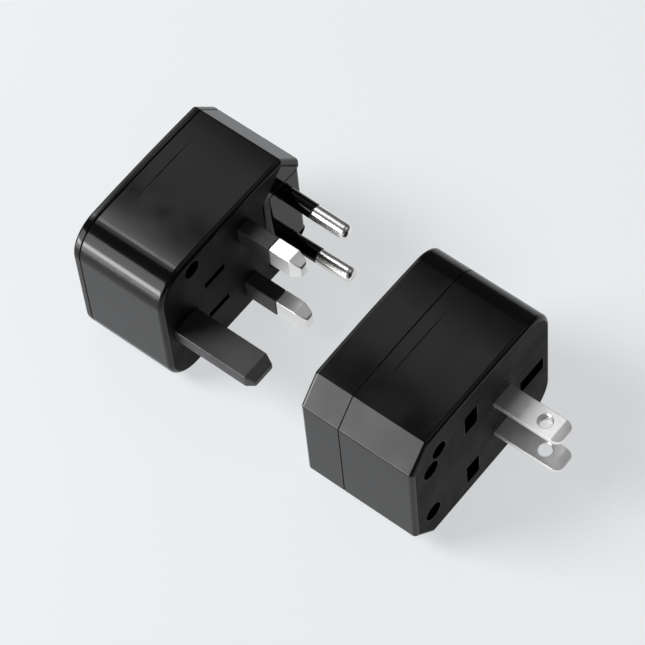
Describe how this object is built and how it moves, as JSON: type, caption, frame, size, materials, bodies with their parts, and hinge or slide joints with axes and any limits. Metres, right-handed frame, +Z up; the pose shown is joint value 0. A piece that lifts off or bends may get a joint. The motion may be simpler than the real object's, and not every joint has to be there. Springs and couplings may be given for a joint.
{
  "type": "universal travel adapter",
  "caption": "Two-piece black travel adapter shown apart: one half with British pins and a swivelling European pin block, the other with turning flat blades.",
  "frame": {"origin": "on the table, under the middle of the box round both halves", "axes": "+X is the way the pins and blades point, +Y runs along the faces towards the European pins, +Z is up"},
  "size_m": [0.115, 0.0506, 0.041],
  "materials": {
    "glossy_black_plastic": "high gloss",
    "textured_black_plastic": "fine spark texture",
    "black_pin_sleeve": "satin",
    "nickel_plate": "bright nickel plate",
    "contact_brass": "stamped",
    "spring_bronze": "stamped",
    "zinc_steel": "zinc plated",
    "white_insulator": "moulded"
  },
  "bodies": {
    "uk_half": {"uk_front_housing": "glossy_black_plastic", "uk_rear_cover": "glossy_black_plastic", "line_pin": "nickel_plate", "neutral_pin": "nickel_plate", "line_pin_sleeve": "black_pin_sleeve", "neutral_pin_sleeve": "black_pin_sleeve", "earth_pin": "glossy_black_plastic", "uk_line_contact": "contact_brass", "uk_neutral_contact": "contact_brass", "uk_contact_carrier": "white_insulator", "eu_wiper_upper": "spring_bronze", "eu_wiper_lower": "spring_bronze", "eu_detent_spring": "zinc_steel", "uk_case_screw": "zinc_steel"},
    "eu_swivel": {"eu_swivel_block": "glossy_black_plastic", "eu_pin_upper": "nickel_plate", "eu_pin_lower": "nickel_plate", "eu_sleeve_upper": "black_pin_sleeve", "eu_sleeve_lower": "black_pin_sleeve", "eu_stub_upper": "contact_brass", "eu_stub_lower": "contact_brass"},
    "us_half": {"us_front_housing": "glossy_black_plastic", "us_rear_cover": "glossy_black_plastic", "rotor_retainer": "white_insulator", "rotor_detent_spring": "zinc_steel", "us_contact_carrier": "white_insulator", "us_line_contact": "contact_brass", "us_neutral_contact": "contact_brass", "blade_wiper_upper": "spring_bronze", "blade_wiper_lower": "spring_bronze", "us_case_screw": "zinc_steel"},
    "blade_upper": {"us_blade_upper": "nickel_plate", "blade_rotor_upper": "textured_black_plastic"},
    "blade_lower": {"us_blade_lower": "nickel_plate", "blade_rotor_lower": "textured_black_plastic"}
  },
  "joints": [
    {"name": "halves_slide", "type": "slide", "parent": "uk_half", "child": "us_half", "axis": [1, 0, 0], "range_m": [-0.04, 0]},
    {"name": "eu_swivel_turn", "type": "hinge", "parent": "uk_half", "child": "eu_swivel", "pos_m": [-0.04115, 0.0155, 0.019], "axis": [0, 0, 1], "range_deg": [0, 90]},
    {"name": "upper_blade_turn", "type": "hinge", "parent": "us_half", "child": "blade_upper", "pos_m": [0.03985, 0.0068, 0.02535], "axis": [1, 0, 0], "range_deg": [0, 30]},
    {"name": "lower_blade_turn", "type": "hinge", "parent": "us_half", "child": "blade_lower", "pos_m": [0.03985, 0.0068, 0.01265], "axis": [-1, 0, 0], "range_deg": [0, 30]}
  ]
}
